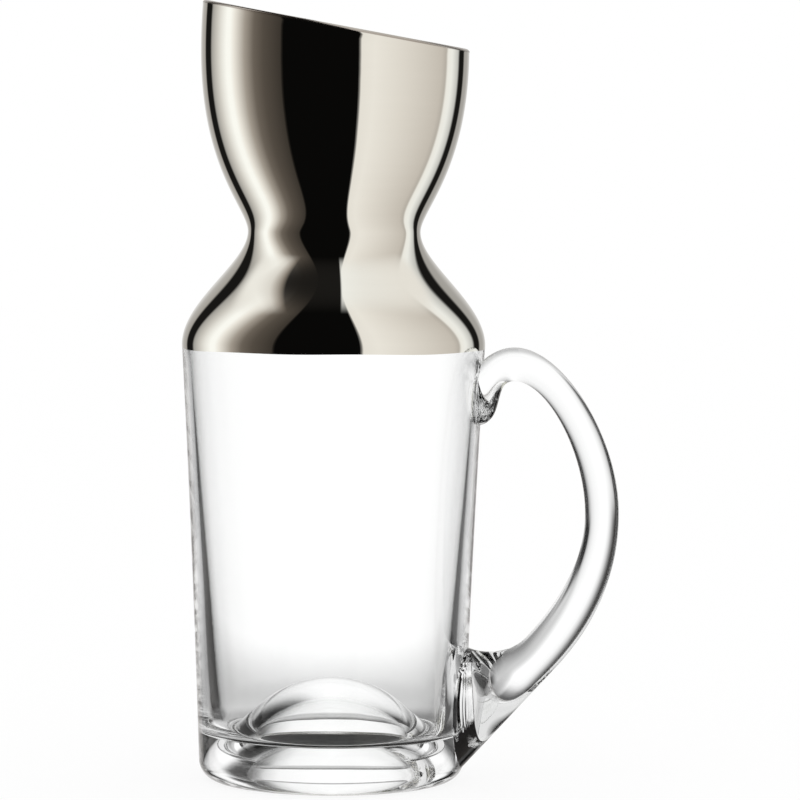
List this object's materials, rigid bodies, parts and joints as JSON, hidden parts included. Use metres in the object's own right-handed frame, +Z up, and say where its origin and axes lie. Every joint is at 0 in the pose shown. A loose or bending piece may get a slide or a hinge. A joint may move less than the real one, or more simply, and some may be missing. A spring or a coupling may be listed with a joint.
{
  "type": "cocktail pitcher",
  "caption": "Tall glass pitcher with a heavy domed base, pinched waist, slanted pouring mouth, solid applied glass handle and a platinum film over neck and bowl.",
  "frame": {"origin": "middle of the ring that the pitcher stands on, on the axis of the body", "axes": "+Z up along the axis of the body, +X towards the handle and the low side of the rim, part symmetric about the XZ plane"},
  "size_m": [0.1491, 0.1028, 0.2649],
  "materials": {
    "clear_glass": "gloss",
    "handle_glass": "gloss",
    "platinum": "polished"
  },
  "bodies": {
    "root": {"glass_body": "clear_glass", "handle": "handle_glass", "platinum_film": "platinum"}
  },
  "joints": []
}
